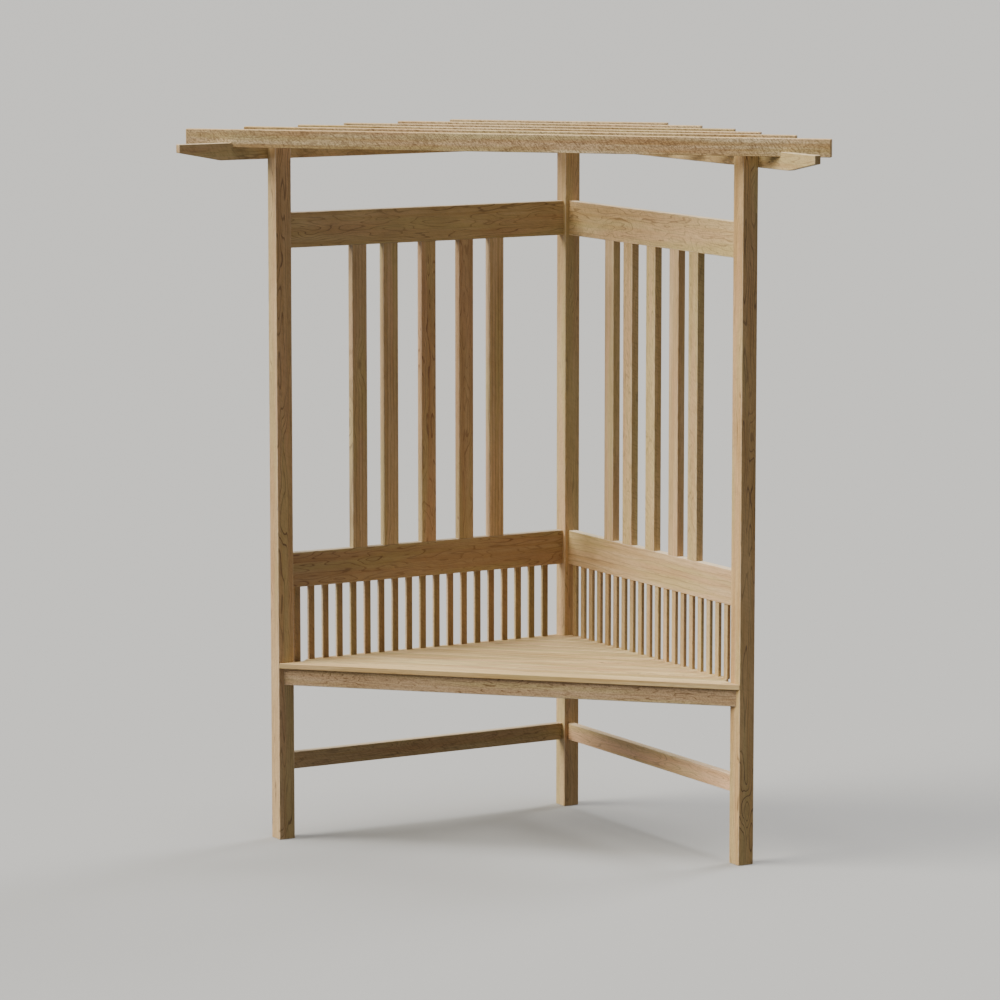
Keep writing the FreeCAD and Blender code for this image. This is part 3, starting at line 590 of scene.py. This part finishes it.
def wood_screw():
    """A countersunk head with a six-lobed star recess. The head's top is at Z = 0."""
    tree = bpy.data.node_groups.new("wood_screw", "GeometryNodeTree")
    inputs = name_sockets(tree, (("Places", "Geometry"), ("Recess Share", "Float"),
                                 ("Recess Depth", "Float"), *SCREW_SIZES), (("Geometry", "Geometry"),))
    head_radius = add(tree, "ShaderNodeMath", {0: inputs["Head Width"], 1: 0.5}, operation="MULTIPLY")
    shank_radius = add(tree, "ShaderNodeMath", {0: inputs["Shank Width"], 1: 0.5}, operation="MULTIPLY")
    cone = add(tree, "GeometryNodeMeshCone",
               {"Vertices": COUNTERSINK_SIDES, "Side Segments": 1, "Fill Segments": 1,
                "Radius Top": head_radius, "Radius Bottom": shank_radius, "Depth": inputs["Head Height"]})
    rim = add(tree, "GeometryNodeExtrudeMesh",
              {"Mesh": cone, "Selection": cone.outputs["Top"], "Offset Scale": 0.0})
    inset = add(tree, "GeometryNodeScaleElements", {"Geometry": rim, "Selection": rim.outputs["Top"],
                                                    "Scale": inputs["Recess Share"]})
    parts = add(tree, "ShaderNodeSeparateXYZ", {0: add(tree, "GeometryNodeInputPosition")}).outputs
    angle = add(tree, "ShaderNodeMath", {0: parts["Y"], 1: parts["X"]}, operation="ARCTAN2")
    lobe = add(tree, "ShaderNodeMath", {0: angle, 1: LOBES}, operation="MULTIPLY")
    lobe = add(tree, "ShaderNodeMath", {0: lobe}, operation="COSINE")
    lobe = add(tree, "ShaderNodeMath", {0: lobe, 1: LOBE_SWING}, operation="MULTIPLY")
    across = add(tree, "ShaderNodeCombineXYZ", {"X": parts["X"], "Y": parts["Y"]})
    across = add(tree, "ShaderNodeVectorMath", {0: across, "Scale": lobe}, operation="SCALE")
    star = add(tree, "GeometryNodeSetPosition", {"Geometry": inset, "Selection": rim.outputs["Top"],
                                                 "Offset": across})
    down = add(tree, "ShaderNodeMath", {0: inputs["Recess Depth"], 1: -1.0}, operation="MULTIPLY")
    sunk = add(tree, "GeometryNodeExtrudeMesh", {"Mesh": star, "Selection": rim.outputs["Top"],
                                                 "Offset Scale": down})
    drop = add(tree, "ShaderNodeMath", {0: inputs["Head Height"], 1: -1.0}, operation="MULTIPLY")
    drop = add(tree, "ShaderNodeCombineXYZ", {"Z": drop})
    head = add(tree, "GeometryNodeTransform", {"Geometry": sunk, "Translation": drop})
    return set_on_places(tree, inputs, [head, threaded_shank(tree, inputs)])


def wall_outwards(place):
    """Away from the seat, square to the wall that this place is in."""
    return UP.cross(ALONG_WALL["left" if place.x < 0 else "right"])


def screw_places(node, outwards):
    """The middle of each head's top, its direction, and the screws' length, from the node's solids."""
    mesh = bmesh.new()
    mesh.from_mesh(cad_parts[node].data)
    bmesh.ops.remove_doubles(mesh, verts=mesh.verts, dist=1e-6)
    seen, places = set(), []
    for start in mesh.verts:
        if start in seen:
            continue
        seen.add(start)
        solid = [start]
        for corner in solid:            # grows until all that hangs together is in it
            for beside in (edge.other_vert(corner) for edge in corner.link_edges):
                if beside not in seen:
                    seen.add(beside)
                    solid.append(beside)
        axis = outwards(start.co)
        side = axis.orthogonal().normalized()
        ways = (axis, side, axis.cross(side))
        reach = np.array([[corner.co.dot(way) for way in ways] for corner in solid])
        low, high = reach.min(axis=0), reach.max(axis=0)
        across = (low + high) / 2
        head = axis * high[0] + side * across[1] + axis.cross(side) * across[2]
        places.append((head, axis, high[0] - low[0]))
    mesh.free()
    return places


def set_screws(node, outwards, tree, sizes):
    """Makes a node's screws in full, as one mesh that takes the node's place."""
    places = screw_places(node, outwards)
    mesh = bpy.data.meshes.new(node + "_places")
    mesh.from_pydata([head for head, _, _ in places], [], [])
    directions = mesh.attributes.new("outwards", "FLOAT_VECTOR", "POINT")
    for item, (_, axis, _) in zip(directions.data, places):
        item.vector = axis
    piece = put_in_scene("plated_" + node, mesh)
    modifier = piece.modifiers.new("screws", "NODES")
    modifier.node_group = tree
    sizes = {**sizes, "Length": places[0][2]}
    for socket in tree.interface.items_tree:
        if socket.in_out == "INPUT" and socket.name in sizes:
            modifier[socket.identifier] = sizes[socket.name]
    evaluated = piece.evaluated_get(bpy.context.evaluated_depsgraph_get())
    solid = bpy.data.meshes.new_from_object(evaluated)
    piece.modifiers.clear()
    piece.data = solid
    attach(piece, "root")
    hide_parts(node)


WOOD_SCREW = wood_screw()
set_screws("beam_screws", wall_outwards, coach_screw(), COACH_SIZES)
set_screws("rafter_screws", lambda place: UP, WOOD_SCREW, WOOD_SIZES)
set_screws("seat_screws", lambda place: -UP, WOOD_SCREW, WOOD_SIZES)


# Camera, as the photograph was taken

SENSOR = 0.036
LENS = 0.16846
CAMERA_PLACE = Vector((3.0654, -11.8138, 2.5946))
CAMERA_AIM = Vector((-0.1060, 0.0544, 0.8781))


def set_camera():
    data = bpy.data.cameras.new("camera")
    data.sensor_width = SENSOR * 1000
    data.lens = LENS * 1000
    data.clip_end = 300.0
    camera = put_in_scene("camera", data)
    camera.location = CAMERA_PLACE
    camera.rotation_euler = (CAMERA_AIM - CAMERA_PLACE).to_track_quat("-Z", "Y").to_euler()
    bpy.context.scene.camera = camera


# Floor and studio light

FLOOR_REACH = 150.0


def set_floor():
    """A floor in pale matt paint: one even tone with no shine, so that only soft shadows show on it."""
    mesh = bpy.data.meshes.new("floor")
    corners = [(x * FLOOR_REACH, y * FLOOR_REACH, 0.0) for x, y in ((-1, -1), (1, -1), (1, 1), (-1, 1))]
    mesh.from_pydata(corners, [], [(0, 1, 2, 3)])
    floor = put_in_scene("floor", mesh)
    material, tree = empty_material("pale_matt_paint")
    shader = add(tree, "ShaderNodeBsdfPrincipled",
                 {"Base Color": colour("#a9a9a8"), "Roughness": 0.9, "Specular IOR Level": 0.2})
    add(tree, "ShaderNodeOutputMaterial", {"Surface": shader})
    mesh.materials.append(material)
    floor.visible_diffuse = False       # no light bounces from it up onto the seat


def set_sun(name, azimuth, elevation, strength, softness, code="#ffffff"):
    """A far, soft light that shines from a compass angle in degrees, 0 in front and 90 to the right."""
    data = bpy.data.lights.new(name, "SUN")
    data.energy = strength
    data.angle = math.radians(softness)
    data.color = colour(code)[:3]
    light = put_in_scene(name, data)
    turn = math.radians(azimuth)
    rise = math.radians(elevation)
    source = Vector((math.sin(turn) * math.cos(rise), -math.cos(turn) * math.cos(rise), math.sin(rise)))
    light.rotation_euler = source.to_track_quat("Z", "Y").to_euler()


def set_light():
    """A warm key light from the left, one from above, one from behind, and a dim even glow all round."""
    set_sun("key", azimuth=-63, elevation=31, strength=4.95, softness=40, code="#fffaee")
    set_sun("top", azimuth=0, elevation=88, strength=2.6, softness=28)
    set_sun("back", azimuth=145, elevation=36, strength=2.0, softness=24)
    world = bpy.data.worlds.new("studio")
    bpy.context.scene.world = world
    world.use_nodes = True
    background = world.node_tree.nodes["Background"]
    background.inputs["Color"].default_value = colour("#e2dbd2")
    background.inputs["Strength"].default_value = 0.24


set_camera()
set_floor()
set_light()
